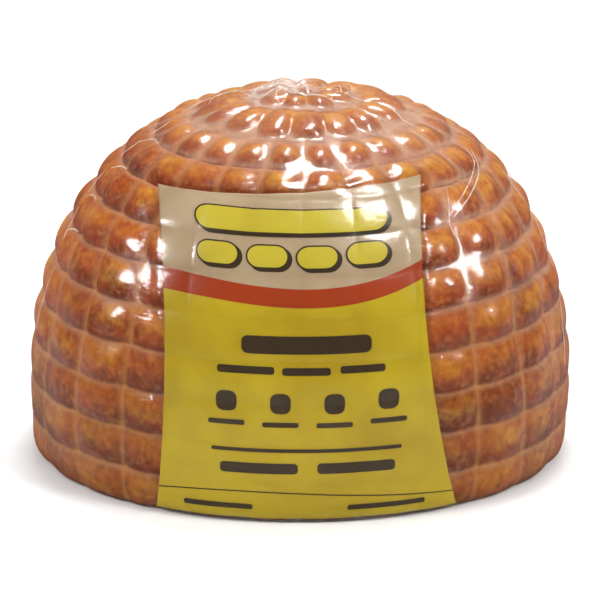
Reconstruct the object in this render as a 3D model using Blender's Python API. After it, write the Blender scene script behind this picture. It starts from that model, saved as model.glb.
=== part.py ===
"""Half a boneless cooked ham in a clear shrink bag, standing on its cut face, with a printed label in front.

Metres, +Z up. The origin is the middle of the flat cut face, +X is the long way of the oval plan,
and the label faces -Y. The dome is swept from one side outline. The cooking net's marks are relief
on it: meridian lines and rings pressed in, with the meat bulging between them.
"""

import math

import bmesh
import bpy
from mathutils import Vector

MM = 0.001

# The dome's outline, as if its plan were round: half widths and heights
HALF_WIDTH = 65.0 * MM
BASE_HALF_WIDTH = 60.0 * MM
WIDEST_HEIGHT = 18.0 * MM
HEIGHT = 89.3 * MM
FOOT_ROUNDING = (0.9, 0.3)  # share of the overhang, share of the widest height
CROWN_FULLNESS = (0.51, 0.72)  # share of the height above the widest level, share of the half width
OUTLINE_SAMPLES = 160

# The oval plan, and how far the crown leans towards +X for each metre of height
DEPTH_RATIO = 0.86
LEAN = 0.011

# The net: meridian strings round the ham, and rings at equal steps up its side
MERIDIANS = 25
MERIDIAN_BUNCHING = math.radians(3.0)
MERIDIAN_SPLAY = math.radians(7.0)
SPLAY_ARCS = (40.0 * MM, 85.0 * MM)
FIRST_RING = 12.4 * MM
RING_STEP = 9.95 * MM
WHOLE_RINGS = 11
GROOVE_DEPTH = 2.0 * MM
PILLOW_POWER = 0.6
CELL_UNEVENNESS = 0.18
CROWN_FADE = (11.2, 12.2)  # the net's rows between which the relief ends
CROWN_BULGE = 0.8

# Facets: steps across one cell of the net, up one cell, below the first ring, and the points of
# each ring above the last whole row
STEPS_ROUND_CELL = 4
STEPS_UP_CELL = 4
STEPS_UP_FOOT = 5
CAP_COLUMNS = (50, 50, 50, 50, 25, 25, 25)

# Where the bag is gathered over the crown
GATHER_RADIUS = 4.5 * MM
GATHER_HEIGHT = 2.0 * MM
GATHER_PLEATS = 6
GATHER_PLEAT_DEPTH = 0.35

# The label, a thin panel bedded in the bag so that its face lies level with the bulges
LABEL_FOOT = 1.2 * MM
LABEL_TOP_ARCS = (81.4 * MM, 85.5 * MM)  # up the outline, at its left and right ends
LABEL_LEFT = (-33.5 * MM, 8.4 * MM, -8.2 * MM)  # x as a quadratic of the share of its height
LABEL_RIGHT = (36.6 * MM, -19.2 * MM, 10.7 * MM)
LABEL_THICKNESS = 0.3 * MM
LABEL_CLEARANCE = 0.42 * MM
LABEL_FACE_DEPTH = 0.05 * MM
LABEL_COLUMNS = 16
LABEL_ROWS = 20
BED_MARGIN = 3.0 * MM
BED_EDGE = 2.0 * MM
BED_RELIEF = 0.3

SMALL_STEP = 0.4 * MM
ON_GROOVE = 1e-6
SHARP_ANGLE = math.radians(50.0)
HAM_COLOUR = (0.42, 0.15, 0.045, 1.0)
LABEL_COLOUR = (0.58, 0.42, 0.025, 1.0)
HAM_ROUGHNESS = 0.3
LABEL_ROUGHNESS = 0.35


def clear_scene():
    for obj in list(bpy.data.objects):
        bpy.data.objects.remove(obj, do_unlink=True)


def smoothstep(low, high, value):
    share = min(max((value - low) / (high - low), 0.0), 1.0)
    return share * share * (3.0 - 2.0 * share)


def bezier(corners, share):
    a, b, c, d = corners
    rest = 1.0 - share
    return a * rest**3 + b * 3.0 * rest * rest * share + c * 3.0 * rest * share * share + d * share**3


def outline():
    """Points (arc length, half width, height) up the dome's side, from the foot to the crown."""
    overhang = HALF_WIDTH - BASE_HALF_WIDTH
    rise = HEIGHT - WIDEST_HEIGHT
    foot = (
        Vector((BASE_HALF_WIDTH, 0.0)),
        Vector((BASE_HALF_WIDTH + overhang * FOOT_ROUNDING[0], 0.0)),
        Vector((HALF_WIDTH, WIDEST_HEIGHT * FOOT_ROUNDING[1])),
        Vector((HALF_WIDTH, WIDEST_HEIGHT)),
    )
    dome = (
        Vector((HALF_WIDTH, WIDEST_HEIGHT)),
        Vector((HALF_WIDTH, WIDEST_HEIGHT + rise * CROWN_FULLNESS[0])),
        Vector((HALF_WIDTH * CROWN_FULLNESS[1], HEIGHT)),
        Vector((0.0, HEIGHT)),
    )
    shares = [i / OUTLINE_SAMPLES for i in range(OUTLINE_SAMPLES + 1)]
    places = [bezier(foot, share) for share in shares]
    places += [bezier(dome, share) for share in shares[1:]]
    arc = 0.0
    found = [(arc, *places[0])]
    for before, after in zip(places, places[1:]):
        arc += (after - before).length
        found.append((arc, *after))
    return found


OUTLINE = outline()
CROWN_ARC = OUTLINE[-1][0]


def on_outline(arc):
    """(half width, height) at an arc length from the foot."""
    arc = min(max(arc, 0.0), CROWN_ARC)
    low, high = 0, len(OUTLINE) - 1
    while high - low > 1:
        middle = (low + high) // 2
        if OUTLINE[middle][0] <= arc:
            low = middle
        else:
            high = middle
    before, after = OUTLINE[low], OUTLINE[high]
    share = (arc - before[0]) / (after[0] - before[0])
    return tuple(start + (end - start) * share for start, end in zip(before[1:], after[1:]))


def arc_at(height):
    """The arc length at which the outline reaches a height."""
    return next(arc for arc, _, z in OUTLINE if z >= height)


LABEL_FOOT_ARC = arc_at(LABEL_FOOT)
BED_DEPTH = LABEL_FACE_DEPTH + LABEL_THICKNESS + LABEL_CLEARANCE


def smooth_point(turn, arc):
    """The dome without its relief. turn is the plan angle from the front, positive towards +X."""
    radius, height = on_outline(arc)
    return Vector(
        (
            radius * math.sin(turn) + LEAN * (height - WIDEST_HEIGHT),
            -radius * math.cos(turn) * DEPTH_RATIO,
            height,
        )
    )


def outward(turn, arc):
    """The dome's unit normal, but level below the widest part, so that the cut face stays flat."""
    x, y = DEPTH_RATIO * math.sin(turn), -math.cos(turn)
    if on_outline(arc)[1] <= WIDEST_HEIGHT:
        return Vector((x, y, 0.0)).normalized()
    radius_below, height_below = on_outline(arc - SMALL_STEP)
    radius_above, height_above = on_outline(arc + SMALL_STEP)
    rise = height_above - height_below
    return Vector((x * rise, y * rise, DEPTH_RATIO * (radius_below - radius_above))).normalized()


def turn_of(even_turn, arc):
    """Where a meridian that would stand at even_turn runs: closer together in front, splayed higher up."""
    turn = even_turn - MERIDIAN_BUNCHING * math.sin(2.0 * even_turn)
    return turn + MERIDIAN_SPLAY * smoothstep(*SPLAY_ARCS, arc) * math.sin(turn)


def uneven(column, row):
    """A repeatable number from 0 to 1 for each cell of the net."""
    return (math.sin(column * 12.9898 + row * 78.233) * 43758.5453) % 1.0


def bulge(even_turn, arc):
    """How far a cell of the net stands out here: 0 in the grooves, about 1 on its top."""
    across = even_turn * MERIDIANS / (2.0 * math.pi)
    up = (arc - FIRST_RING) / RING_STEP + 1.0
    cell = (math.floor(across + ON_GROOVE) % MERIDIANS, math.floor(up + ON_GROOVE))
    top = 1.0 - CELL_UNEVENNESS * uneven(*cell)
    share = abs(math.sin(math.pi * across)) ** PILLOW_POWER * top
    if arc > FIRST_RING / 2.0:  # the cut face leaves the lowest cells open
        rows = max(up, arc / FIRST_RING) if arc < FIRST_RING else up
        share *= abs(math.sin(math.pi * rows)) ** PILLOW_POWER
    fade = smoothstep(*CROWN_FADE, up)
    return share + (CROWN_BULGE - share) * fade


def quadratic(numbers, share):
    return numbers[0] + numbers[1] * share + numbers[2] * share * share


def in_bed(place, arc):
    """1 where the label lies on the dome, falling to 0 outside its edges."""
    if place.y > 0.0:
        return 0.0
    height = sum(LABEL_TOP_ARCS) / 2.0 - LABEL_FOOT_ARC
    share = min(max((arc - LABEL_FOOT_ARC) / height, 0.0), 1.0)
    left, right = quadratic(LABEL_LEFT, share), quadratic(LABEL_RIGHT, share)
    across = min(max((place.x - left) / (right - left), 0.0), 1.0)
    top = LABEL_TOP_ARCS[0] + (LABEL_TOP_ARCS[1] - LABEL_TOP_ARCS[0]) * across
    outside = max(left - place.x, place.x - right, arc - top)
    return 1.0 - smoothstep(BED_MARGIN, BED_MARGIN + BED_EDGE, outside)


def gather(turn, arc):
    """The height of the bag's gathered pleats over the crown."""
    share = on_outline(arc)[0] / GATHER_RADIUS
    pleats = GATHER_PLEAT_DEPTH * math.cos(GATHER_PLEATS * turn) * smoothstep(0.0, 0.5, share)
    return GATHER_HEIGHT * math.exp(-2.0 * share * share) * (1.0 + pleats)


def ham_point(even_turn, arc):
    turn = turn_of(even_turn, arc)
    place = smooth_point(turn, arc)
    hollow = GROOVE_DEPTH * (1.0 - bulge(even_turn, arc))
    bed = in_bed(place, arc)
    depth = hollow * (1.0 - bed) + (BED_DEPTH + BED_RELIEF * hollow) * bed
    return place - outward(turn, arc) * depth + Vector((0.0, 0.0, gather(turn, arc)))


def label_point(across, up, depth):
    """A point of the label: across from its left to its right edge, up from its foot to its top."""
    top = LABEL_TOP_ARCS[0] + (LABEL_TOP_ARCS[1] - LABEL_TOP_ARCS[0]) * across
    arc = LABEL_FOOT_ARC + (top - LABEL_FOOT_ARC) * up
    x = quadratic(LABEL_LEFT, up) * (1.0 - across) + quadratic(LABEL_RIGHT, up) * across
    radius, height = on_outline(arc)
    turn = math.asin((x - LEAN * (height - WIDEST_HEIGHT)) / radius)
    return smooth_point(turn, arc) - outward(turn, arc) * depth


def material(name, colour, roughness):
    found = bpy.data.materials.new(name)
    found.use_nodes = True
    shader = found.node_tree.nodes["Principled BSDF"]
    shader.inputs["Base Color"].default_value = colour
    shader.inputs["Roughness"].default_value = roughness
    found.diffuse_color = colour
    return found


def object_from(name, mesh, finish):
    data = bpy.data.meshes.new(name)
    bmesh.ops.recalc_face_normals(mesh, faces=mesh.faces)
    mesh.to_mesh(data)
    mesh.free()
    data.shade_smooth()
    data.set_sharp_from_angle(angle=SHARP_ANGLE)
    data.materials.append(finish)
    obj = bpy.data.objects.new(name, data)
    bpy.context.scene.collection.objects.link(obj)


def rings():
    """(arc length, number of points) of each ring of the ham's mesh, from the foot up."""
    columns = MERIDIANS * STEPS_ROUND_CELL
    found = [(FIRST_RING * i / STEPS_UP_FOOT, columns) for i in range(STEPS_UP_FOOT)]
    steps = (WHOLE_RINGS - 1) * STEPS_UP_CELL
    found += [(FIRST_RING + RING_STEP * i / STEPS_UP_CELL, columns) for i in range(steps + 1)]
    last = found[-1][0]
    step = (CROWN_ARC - last) / (len(CAP_COLUMNS) + 1)
    return found + [(last + step * (i + 1), count) for i, count in enumerate(CAP_COLUMNS)]


def join_rings(mesh, lower, upper):
    """Faces between two rings. The upper one has as many points as the lower one, or half as many."""
    count = len(lower)
    if len(upper) == count:
        for i in range(count):
            j = (i + 1) % count
            mesh.faces.new((lower[i], lower[j], upper[j], upper[i]))
        return
    for i, top in enumerate(upper):
        left, middle, right = (lower[(2 * i + k) % count] for k in range(3))
        mesh.faces.new((left, middle, top))
        mesh.faces.new((middle, right, upper[(i + 1) % len(upper)], top))


def build_ham():
    mesh = bmesh.new()
    made = []
    for arc, count in rings():
        turns = [2.0 * math.pi * i / count for i in range(count)]
        made.append([mesh.verts.new(ham_point(turn, arc)) for turn in turns])
    for lower, upper in zip(made, made[1:]):
        join_rings(mesh, lower, upper)
    crown = mesh.verts.new(ham_point(0.0, CROWN_ARC))
    last = made[-1]
    for i, point in enumerate(last):
        mesh.faces.new((point, last[(i + 1) % len(last)], crown))
    mesh.faces.new(list(reversed(made[0])))
    object_from("wrapped_ham", mesh, material("cooked_ham", HAM_COLOUR, HAM_ROUGHNESS))


def label_side(mesh, depth):
    """A grid of points over the label, in rows from its foot to its top."""
    across = [i / LABEL_COLUMNS for i in range(LABEL_COLUMNS + 1)]
    up = [j / LABEL_ROWS for j in range(LABEL_ROWS + 1)]
    return [[mesh.verts.new(label_point(u, v, depth)) for u in across] for v in up]


def rim_of(side):
    """The points round the edge of a grid, in order."""
    right = [row[-1] for row in side[1:-1]]
    left = [row[0] for row in side[1:-1]]
    return side[0] + right + side[-1][::-1] + left[::-1]


def build_label():
    mesh = bmesh.new()
    face = label_side(mesh, LABEL_FACE_DEPTH)
    back = label_side(mesh, LABEL_FACE_DEPTH + LABEL_THICKNESS)
    for side in (face, back):
        for lower, upper in zip(side, side[1:]):
            for i in range(LABEL_COLUMNS):
                mesh.faces.new((lower[i], lower[i + 1], upper[i + 1], upper[i]))
    outer, inner = rim_of(face), rim_of(back)
    for i, point in enumerate(outer):
        mesh.faces.new((point, inner[i], inner[i - 1], outer[i - 1]))
    object_from("label", mesh, material("printed_label", LABEL_COLOUR, LABEL_ROUGHNESS))


def main():
    clear_scene()
    build_ham()
    build_label()


main()
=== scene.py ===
"""The looks of a half cooked ham: its net-marked meat, the clear shrink film over it and its label.

Metres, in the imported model's frame: the ham stands on its cut face, and the label faces -Y. The dome
is swept from one side outline. A place on it is given by its arc, the length up that outline from
the foot, and its turn, the plan angle from the front. The net that marked it has meridians up the
dome and rings round it, and a row is the band of cells between two rings.
"""

import math

import bpy
import numpy as np
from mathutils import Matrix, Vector, noise


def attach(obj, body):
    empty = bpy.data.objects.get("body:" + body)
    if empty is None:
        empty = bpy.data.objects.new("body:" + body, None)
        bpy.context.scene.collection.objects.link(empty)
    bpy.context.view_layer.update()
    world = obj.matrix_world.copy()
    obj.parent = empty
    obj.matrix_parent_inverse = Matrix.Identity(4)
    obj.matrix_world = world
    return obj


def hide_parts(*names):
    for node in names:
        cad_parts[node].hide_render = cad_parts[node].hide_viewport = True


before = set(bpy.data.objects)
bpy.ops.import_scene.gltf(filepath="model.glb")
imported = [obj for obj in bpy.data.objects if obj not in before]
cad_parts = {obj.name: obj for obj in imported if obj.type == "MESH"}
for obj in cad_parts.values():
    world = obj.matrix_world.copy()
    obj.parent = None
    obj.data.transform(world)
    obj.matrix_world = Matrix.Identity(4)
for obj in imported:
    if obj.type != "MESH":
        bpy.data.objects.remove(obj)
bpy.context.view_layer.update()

MM = 0.001
FULL_TURN = 2.0 * math.pi

# The dome and the net, as in the solids
HALF_WIDTH = 65.0 * MM
BASE_HALF_WIDTH = 60.0 * MM
WIDEST_HEIGHT = 18.0 * MM
HEIGHT = 89.3 * MM
FOOT_ROUNDING = (0.9, 0.3)
CROWN_FULLNESS = (0.51, 0.72)
DEPTH_RATIO = 0.86
LEAN = 0.011
MERIDIANS = 25
MERIDIAN_BUNCHING = math.radians(3.0)
MERIDIAN_SPLAY = math.radians(7.0)
SPLAY_ARCS = (40.0 * MM, 85.0 * MM)
FIRST_RING = 12.4 * MM
RING_STEP = 9.95 * MM
OUTLINE_POINTS = 400

# How the real net strays from an even one: each ring sags between two meridians, and both wander,
# apart from the rows at both ends
RING_SAG = 0.4 * MM
WANDER = (0.55 * MM, 1.2 * MM)
WANDER_ARCS = (80.0 * MM, 108.0 * MM)
WANDER_SIZE = 17.0 * MM
WANDER_RADIUS = 8.0 * MM
EVEN_ENDS = (0.0, 1.0, 11.0, 12.4)

# Towards the crown the rows give way to loose lumps, in rings of (arc and half length in millimetres,
# count). A lump strays from its place and has its own width and length. The powers square its plan,
# flatten its top and steepen its sides.
LUMP_ROWS = (9.95, 10.25)
LUMP_RINGS = ((109.3, 7.7, 17), (121.6, 5.2, 8), (129.4, 2.4, 2))
LUMP_STRAY = (0.35, 1.6 * MM)
LUMP_WIDTHS = (0.98, 1.28)
LUMP_LENGTHS = (0.8, 1.1)
LUMP_POWERS = (2.6, 2.5, 0.7)
LUMP_HEIGHT = 0.92
LUMP_RADIUS = 3.0 * MM

# The fine meshes: steps across and up one cell, and the half widths at which a ring has half as many
# points as the one below it
STEPS_ROUND_CELL = 20
STEPS_UP_CELL = 16
STEPS_UP_FOOT = 20
HALVING_WIDTHS = (22.0 * MM, 7.0 * MM)

# The meat's relief: how far its crests stand outside the smooth dome, and how deep the grooves lie
# below them. Grooves are shallower near the foot, and a meridian's is a share of a ring's, there and
# higher up. A cell is steep at its lower edge, and the lowest part of the first row has no groove.
PROUD = 0.45 * MM
GROOVE_DEPTH = 2.6 * MM
LOW_GROOVE_SHARE = 0.55
LOW_GROOVE_ARCS = (22.0 * MM, 62.0 * MM)
MERIDIAN_SHARES = (0.7, 0.92)
OVERHANG = 0.89
PLAIN_FOOT = 0.4
CELL_UNEVENNESS = 0.22

# Towards the crown the grooves widen: the arcs between which they do, and the powers that shape a
# cell below and above them. The lower a power, the flatter the cell and the narrower the groove.
LOOSE_ARCS = (84.0 * MM, 104.0 * MM)
RING_POWERS = (0.5, 0.85)
MERIDIAN_POWERS = (0.5, 0.95)

# Fine relief of the meat, and the least that the film clears it by
BUMP_SIZE = 6.5 * MM
BUMP_DEPTH = 0.3 * MM
GRAIN_SIZE = 1.5 * MM
GRAIN_DEPTH = 0.06 * MM
MEAT_CLEARANCE = 0.12 * MM

# Skin creases up the right end: where they lie, and their width and length, depth and narrowness
CREASE_TURNS = [math.radians(turn) for turn in (46.0, 56.0, 74.0, 84.0)]
CREASE_ARCS = (18.0 * MM, 32.0 * MM, 96.0 * MM, 108.0 * MM)
CREASE_SPACING = (2.6 * MM, 12.0 * MM)
CREASE_DEPTH = 0.8 * MM
CREASE_NARROWNESS = 1.8

# The film: how deep it follows a groove where it clings least and most, how much deeper in the loose
# upper part, how softly it leaves the meat, and the size and strength of the changes in its cling
FILM_REACH = (0.45 * MM, 1.4 * MM)
LOOSE_REACH = 0.9 * MM
FILM_SOFTNESS = 0.25 * MM
CLING_SIZE = 13.0 * MM
CLING_CHANGE = 0.9

# In the upper rows it is drawn tight over the rings, and dips only at the meridians
TAUT_ARCS = (78.0 * MM, 88.0 * MM, 98.0 * MM, 107.0 * MM)
TAUT_SHARE = 0.12
TAUT_DEPTH = 0.8 * MM
TAUT_POWER = 0.7
TAUT_BUMPS = 0.4

# The film's gather over the crown: its centre in plan, reach, rise and how fast it falls away. Its
# pleats are waves round it, each as (count, twist outwards, start, strength).
GATHER_CENTRE = (-4.0 * MM, 2.5 * MM)
GATHER_RADIUS = 9.5 * MM
GATHER_RISE = 1.3 * MM
GATHER_FALL = 1.6
PLEATS = ((7.0, 3.0, 0.0, 0.35), (12.0, -4.0, 1.3, 0.25))
PLEAT_REACH = (0.1, 0.6)

# The label, as in the solids: the arc of its top at the left and right, and the x of each side as a
# quadratic of the share up it
LABEL_FOOT = 1.2 * MM
LABEL_TOP_ARCS = (81.4 * MM, 85.5 * MM)
LABEL_LEFT = (-33.5 * MM, 8.4 * MM, -8.2 * MM)
LABEL_RIGHT = (36.6 * MM, -19.2 * MM, 10.7 * MM)

# How softly the film passes over the label's edges, how much of the grooves and bumps shows on it,
# and where film, print and meat lie there
LABEL_BLEND = (0.4 * MM, 3.4 * MM)
LABEL_RELIEF = 0.17
LABEL_RIPPLE = 0.6
FILM_ON_LABEL = -0.18 * MM
PRINT_DEPTH = 0.4 * MM
PRINT_THICKNESS = 0.1 * MM
MEAT_UNDER_LABEL = 0.8 * MM

# Heights of the label's colour borders as cubics of x, in millimetres
BAND_FOOT = (51.6, -0.015, 0.0041, 0.00008)
BAND_TOP = (55.7, -0.016, 0.0043, 0.00007)
RULE_FOOT = (7.8, -0.045, -0.0015, 0.00002)
RULE_HEIGHT = 0.35

# The camera, fitted to the photo's outline
CAMERA_ELEVATION = math.radians(18.6)
CAMERA_DISTANCE = 1.2
CAMERA_AIM = (0.0, 0.0, 36.6 * MM)
CAMERA_LENS = 300.0

# How far one seed's noise lies from the next one's, and the numbers of a hash
NOISE_SHIFT = (3.1, 7.7, 1.3)
HASH_STEPS = (12.9898, 78.233, 37.719)
HASH_START = 4.1
HASH_SCALE = 43758.5453

# What puts a point on a meridian or ring in the cell beyond it
CELL_EDGE = 1e-6

# Rounds of stepping that find a place, and a border on the label from a first guess
PLACE_ROUNDS = 7
BORDER_ROUNDS = 12
BORDER_GUESS = 0.6


def smoothstep(low, high, value):
    share = np.clip((value - low) / (high - low), 0.0, 1.0)
    return share * share * (3.0 - 2.0 * share)


def between(low, from_low, from_high, high, value):
    """1 in the middle of a range, falling to 0 at both ends."""
    return smoothstep(low, from_low, value) * (1.0 - smoothstep(from_high, high, value))


def mixed(a, b, share):
    return a + (b - a) * share


def soft_minimum(a, b, softness):
    return -softness * np.logaddexp(-a / softness, -b / softness)


def noise_at(points, size, seed):
    """Smooth noise, about -1 to 1, at an array of points, another one for each seed."""
    shift = Vector([seed * step for step in NOISE_SHIFT])
    return np.array([noise.noise(Vector(point) / size + shift) for point in points])


def hashed(total):
    """A fixed number from 0 to 1 that looks random."""
    return (np.sin(total) * HASH_SCALE) % 1.0


def linear(red, green, blue):
    """A colour given as 0 to 255 on screen, as the shader's linear values."""
    shares = [channel / 255.0 for channel in (red, green, blue)]
    return tuple(s / 12.92 if s <= 0.04045 else ((s + 0.055) / 1.055) ** 2.4 for s in shares) + (1.0,)


# The dome


def bezier(corners, shares):
    a, b, c, d = (np.array(corner) for corner in corners)
    s = shares[:, None]
    return a * (1 - s) ** 3 + b * 3 * (1 - s) ** 2 * s + c * 3 * (1 - s) * s**2 + d * s**3


def outline():
    """Arrays of arc length, half width and height up the dome's side."""
    overhang = HALF_WIDTH - BASE_HALF_WIDTH
    rise = HEIGHT - WIDEST_HEIGHT
    foot = (
        (BASE_HALF_WIDTH, 0.0),
        (BASE_HALF_WIDTH + overhang * FOOT_ROUNDING[0], 0.0),
        (HALF_WIDTH, WIDEST_HEIGHT * FOOT_ROUNDING[1]),
        (HALF_WIDTH, WIDEST_HEIGHT),
    )
    dome = (
        (HALF_WIDTH, WIDEST_HEIGHT),
        (HALF_WIDTH, WIDEST_HEIGHT + rise * CROWN_FULLNESS[0]),
        (HALF_WIDTH * CROWN_FULLNESS[1], HEIGHT),
        (0.0, HEIGHT),
    )
    shares = np.linspace(0.0, 1.0, OUTLINE_POINTS)
    places = np.vstack([bezier(foot, shares), bezier(dome, shares)[1:]])
    steps = np.hypot(*np.diff(places, axis=0).T)
    return np.concatenate([[0.0], np.cumsum(steps)]), places[:, 0], places[:, 1]


ARCS, RADII, HEIGHTS = outline()
CROWN_ARC = ARCS[-1]
CROWN_ROW = 1.0 + (CROWN_ARC - FIRST_RING) / RING_STEP


def radius_at(arc):
    return np.interp(arc, ARCS, RADII)


def height_at(arc):
    return np.interp(arc, ARCS, HEIGHTS)


def arc_at(height):
    return np.interp(height, HEIGHTS, ARCS)


LABEL_FOOT_ARC = float(arc_at(LABEL_FOOT))


def smooth_points(turn, arc):
    """Points of the dome without its relief."""
    radius, height = radius_at(arc), height_at(arc)
    x = radius * np.sin(turn) + LEAN * (height - WIDEST_HEIGHT)
    return np.stack([x, -radius * np.cos(turn) * DEPTH_RATIO, height], axis=-1)


def outward(turn, arc):
    """Unit normals of the dome, level below its widest part, so that the cut face stays flat."""
    step = 0.3 * MM
    rise = height_at(arc + step) - height_at(arc - step)
    inward = radius_at(arc - step) - radius_at(arc + step)
    level = height_at(arc) <= WIDEST_HEIGHT
    rise = np.where(level, 1.0, rise)
    inward = np.where(level, 0.0, inward)
    across = DEPTH_RATIO * np.sin(turn) * rise
    normals = np.stack([across, -np.cos(turn) * rise, DEPTH_RATIO * inward], axis=-1)
    return normals / np.linalg.norm(normals, axis=-1, keepdims=True)


def turn_of(even_turn, arc):
    """The plan angle of a meridian. Meridians bunch at the front and back, and splay higher up."""
    turn = even_turn - MERIDIAN_BUNCHING * np.sin(2.0 * even_turn)
    return turn + MERIDIAN_SPLAY * smoothstep(*SPLAY_ARCS, arc) * np.sin(turn)


# The net


def row_arc(row_place):
    """The arc of an even net at a place counted in rows from the foot."""
    return np.where(row_place < 1.0, row_place * FIRST_RING, FIRST_RING + (row_place - 1.0) * RING_STEP)


class Place:
    """Points of the dome, given by their even turn and their row, and the cells they lie in."""

    def __init__(self, even_turn, row_place):
        self.even_turn, self.row_place = even_turn, row_place
        across = even_turn * MERIDIANS / FULL_TURN + CELL_EDGE
        up = row_place + CELL_EDGE
        self.column = np.floor(across) % MERIDIANS
        self.row = np.floor(up)
        self.across_cell = across - np.floor(across)
        self.up_cell = up - self.row
        self.round_share = np.abs(np.sin(math.pi * across))
        self.crown = smoothstep(*LUMP_ROWS, row_place)
        self.stray()
        self.smooth = smooth_points(self.turn, self.arc)
        self.normal = outward(self.turn, self.arc)

    def stray(self):
        """Moves the points from the even net to where the real one lies."""
        arc = row_arc(self.row_place)
        turn = turn_of(self.even_turn, arc)
        loose = between(*EVEN_ENDS, self.row_place)
        reach = loose * mixed(*WANDER, smoothstep(*WANDER_ARCS, arc))
        spots = smooth_points(turn, arc)
        sag = RING_SAG * self.round_share * loose
        self.arc = arc - sag + reach * noise_at(spots, WANDER_SIZE, seed=11)
        aside = reach * noise_at(spots, WANDER_SIZE, seed=12)
        self.turn = turn + aside / np.maximum(radius_at(arc), WANDER_RADIUS)

    def random(self, seed):
        """A number from 0 to 1 for each cell."""
        numbers = (self.column, self.row, seed)
        return hashed(sum(number * step for number, step in zip(numbers, HASH_STEPS)))


def place_at(turn, arc):
    """The place that lies at a turn and an arc, found by stepping."""
    even, row_place = turn.copy(), (arc - FIRST_RING) / RING_STEP + 1.0
    for _ in range(PLACE_ROUNDS):
        place = Place(even, row_place)
        even = even + turn - place.turn
        row_place = np.clip(row_place + (arc - place.arc) / RING_STEP, 0.0, CROWN_ROW)
    return Place(even, row_place)


def scatter(number):
    """A fixed number from 0 to 1 for each number."""
    return hashed(number * HASH_STEPS[0] + HASH_START)


def lump_shares(place, ring, i):
    """How far each point lies from the middle of one lump, in all and along, in its half widths."""
    ring_arc, half_length, count = LUMP_RINGS[ring]
    key = 10.0 * i + ring
    turn = FULL_TURN * (i + 0.5 * ring + LUMP_STRAY[0] * scatter(key)) / count
    middle = ring_arc * MM + LUMP_STRAY[1] * (scatter(key + 1.0) - 0.5)
    half_width = max(radius_at(middle), LUMP_RADIUS) * math.pi / count
    half_width *= mixed(*LUMP_WIDTHS, scatter(key + 2.0))
    turned = np.abs((place.turn - turn + math.pi) % FULL_TURN - math.pi)
    aside = turned * radius_at(place.arc) / half_width
    along = (place.arc - middle) / (half_length * MM * mixed(*LUMP_LENGTHS, scatter(key + 3.0)))
    power = LUMP_POWERS[0]
    return (aside**power + np.abs(along) ** power) ** (1.0 / power), along


def crown_lumps(place):
    """How far each point stands up in the crown's lumps, and how far up its own lump it lies."""
    nearest = np.full(len(place.arc), np.inf)
    up = np.full(len(place.arc), 0.5)
    for ring, (_, _, count) in enumerate(LUMP_RINGS):
        for i in range(count):
            away, along = lump_shares(place, ring, i)
            up = np.where(away < nearest, 0.5 + 0.5 * along, up)
            nearest = np.minimum(nearest, away)
    return np.clip(1.0 - nearest ** LUMP_POWERS[1], 0.0, 1.0) ** LUMP_POWERS[2], np.clip(up, 0.0, 1.0)


def groove_depth(arc):
    return GROOVE_DEPTH * mixed(LOW_GROOVE_SHARE, 1.0, smoothstep(*LOW_GROOVE_ARCS, arc))


def hollow_at(place, lumps):
    """Depth of the net's grooves below the crests."""
    loose = smoothstep(*LOOSE_ARCS, place.arc)
    up = np.sin(math.pi * place.up_cell**OVERHANG) ** mixed(*RING_POWERS, loose)
    up = np.where((place.row < 1.0) & (place.up_cell < PLAIN_FOOT), 1.0, up)
    meridian = mixed(*MERIDIAN_SHARES, smoothstep(*LOW_GROOVE_ARCS, place.arc))
    across = place.round_share ** mixed(*MERIDIAN_POWERS, loose)
    share = up * (1.0 - meridian + meridian * across)
    share = share * (1.0 - CELL_UNEVENNESS * (1.0 + loose) * place.random(seed=0))
    return groove_depth(place.arc) * (1.0 - mixed(share, LUMP_HEIGHT * lumps, place.crown))


def quadratic(numbers, share):
    return numbers[0] + numbers[1] * share + numbers[2] * share * share


def under_label(points, arc):
    """1 under the label, falling to 0 a little outside its edges."""
    height = sum(LABEL_TOP_ARCS) / 2.0 - LABEL_FOOT_ARC
    share = np.clip((arc - LABEL_FOOT_ARC) / height, 0.0, 1.0)
    left, right = quadratic(LABEL_LEFT, share), quadratic(LABEL_RIGHT, share)
    across = np.clip((points[:, 0] - left) / (right - left), 0.0, 1.0)
    top = mixed(*LABEL_TOP_ARCS, across)
    outside = np.maximum(np.maximum(left - points[:, 0], points[:, 0] - right), arc - top)
    return np.where(points[:, 1] < 0.0, 1.0 - smoothstep(*LABEL_BLEND, outside), 0.0)


def creases(place):
    """Skin creases, 1 on a fold's crest and 0 in the crease, and where they lie."""
    where = between(*CREASE_TURNS, place.turn) * between(*CREASE_ARCS, place.arc)
    across = place.turn * HALF_WIDTH / CREASE_SPACING[0]
    spots = np.stack([across, place.arc / CREASE_SPACING[1], across * 0.0], axis=-1)
    fold = 1.0 - np.clip(CREASE_NARROWNESS * np.abs(noise_at(spots, 1.0, seed=21)), 0.0, 1.0)
    return 1.0 - fold**2, where


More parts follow.
